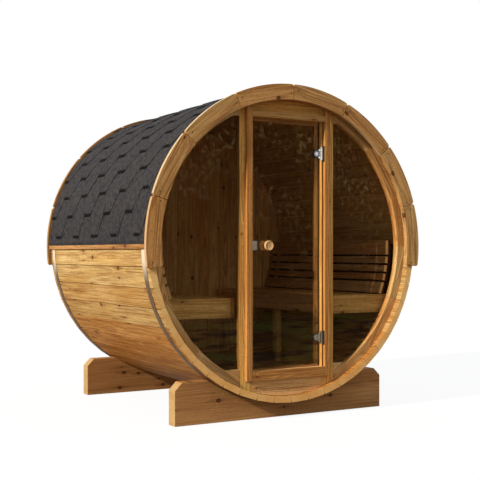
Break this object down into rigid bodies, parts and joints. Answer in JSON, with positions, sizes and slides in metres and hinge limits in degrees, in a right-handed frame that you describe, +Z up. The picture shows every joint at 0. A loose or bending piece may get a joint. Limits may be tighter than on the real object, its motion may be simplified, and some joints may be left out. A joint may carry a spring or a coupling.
{
  "type": "barrel sauna",
  "caption": "Outdoor barrel sauna: horizontal wooden barrel on cradles, shingled upper half, glazed front wall with hinged glass door, benches inside.",
  "frame": {"origin": "on the ground at the centre of the footprint, under the middle of the barrel", "axes": "+Z up; the glazed front and its door face -Y; +X to the right when looking at the front; the barrel's axis lies along Y"},
  "size_m": [2.0574, 1.807, 2.1327],
  "materials": {
    "stave_wood": "planed softwood staves, oiled honey brown, with knots and grain along the barrel",
    "rim_wood": "sawn curved softwood boards, oiled, knotty",
    "roof_shingle": "dark grey mineral granules on bitumen roofing",
    "trim_wood": "planed softwood battens, oiled",
    "band_steel": "flat strip steel, dull grey",
    "cradle_wood": "thick softwood planks, oiled brown, darker end grain",
    "wall_wood": "planed softwood, oiled brown",
    "tinted_glass": "bronze tinted toughened glass",
    "fitting_chrome": "polished metal",
    "knob_wood": "turned pale wood, oiled",
    "floor_wood": "planed boards",
    "bench_wood": "smooth planed boards"
  },
  "bodies": {
    "root": {"staves_bottom": "stave_wood", "staves_lower_right": "stave_wood", "staves_right": "stave_wood", "staves_upper_right": "stave_wood", "staves_top": "stave_wood", "staves_upper_left": "stave_wood", "staves_left": "stave_wood", "staves_lower_left": "stave_wood", "rim_front": "rim_wood", "rim_rear": "rim_wood", "roof_shingles_left": "roof_shingle", "roof_shingles_right": "roof_shingle", "eave_trim_left": "trim_wood", "eave_trim_right": "trim_wood", "door_jamb_left": "trim_wood", "door_jamb_right": "trim_wood", "door_head_rail": "trim_wood", "door_threshold": "trim_wood", "door_stops": "trim_wood", "band_front": "band_steel", "band_rear": "band_steel", "cradle_front": "cradle_wood", "cradle_rear": "cradle_wood", "front_post_left": "wall_wood", "front_post_right": "wall_wood", "front_header": "wall_wood", "front_sill": "wall_wood", "window_frame_left": "wall_wood", "window_frame_right": "wall_wood", "rear_wall": "wall_wood", "window_glass_left": "tinted_glass", "window_glass_right": "tinted_glass", "hinge_leaf_upper": "fitting_chrome", "hinge_leaf_lower": "fitting_chrome", "floor": "floor_wood", "floor_bearers": "floor_wood", "bench_frame_left": "bench_wood", "bench_frame_right": "bench_wood", "bench_seat_left": "bench_wood", "bench_seat_right": "bench_wood", "backrest_left": "bench_wood", "backrest_right": "bench_wood", "backrest_battens": "bench_wood"},
    "door": {"door_glass": "tinted_glass", "door_clamp_upper": "fitting_chrome", "door_clamp_lower": "fitting_chrome", "door_knob": "knob_wood", "door_strike": "fitting_chrome"}
  },
  "joints": [
    {"name": "door_hinge", "type": "hinge", "parent": "root", "child": "door", "pos_m": [0.254, -0.8185, 1.104], "axis": [0, 0, 1], "range_deg": [0, 100]}
  ]
}
